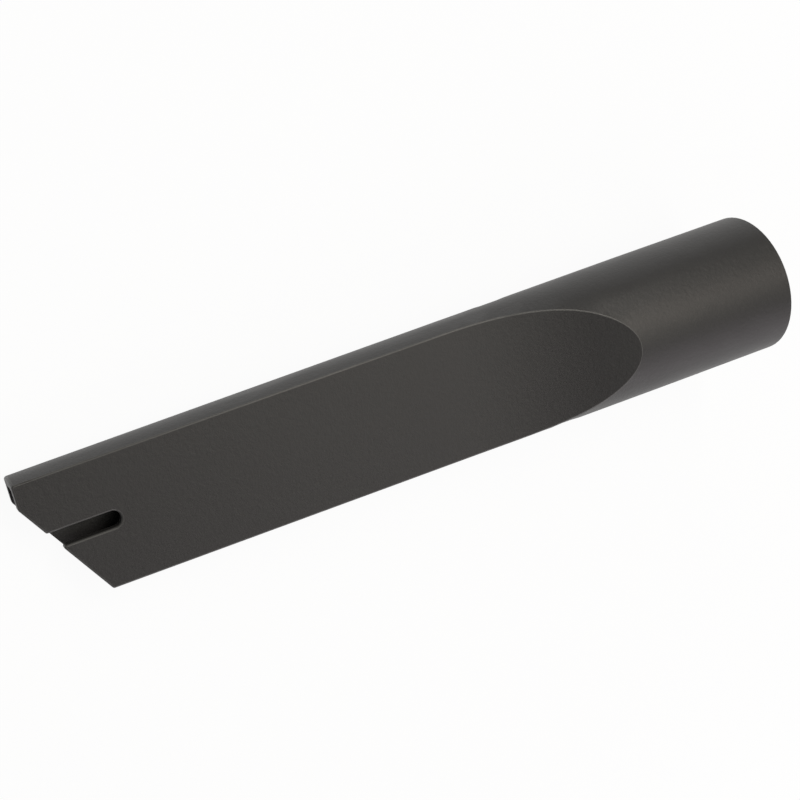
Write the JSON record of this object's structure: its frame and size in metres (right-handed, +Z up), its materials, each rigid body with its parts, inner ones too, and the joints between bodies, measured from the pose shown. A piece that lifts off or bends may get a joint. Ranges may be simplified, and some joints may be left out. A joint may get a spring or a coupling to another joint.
{
  "type": "vacuum crevice tool",
  "caption": "Long flat crevice tool with a round push-fit socket, faces that sweep down to a slanted flat tip, and a short bleed slot open at the tip.",
  "frame": {"origin": "on the table below the middle of the tool as it lies, slotted face up", "axes": "+X from the tip towards the round mouth, +Y across the flat tip towards its longer side, +Z up"},
  "size_m": [0.2134, 0.039, 0.0428],
  "materials": {
    "moulded_plastic": "fine-grained matt charcoal moulding"
  },
  "bodies": {
    "root": {"crevice_tool": "moulded_plastic"}
  },
  "joints": []
}
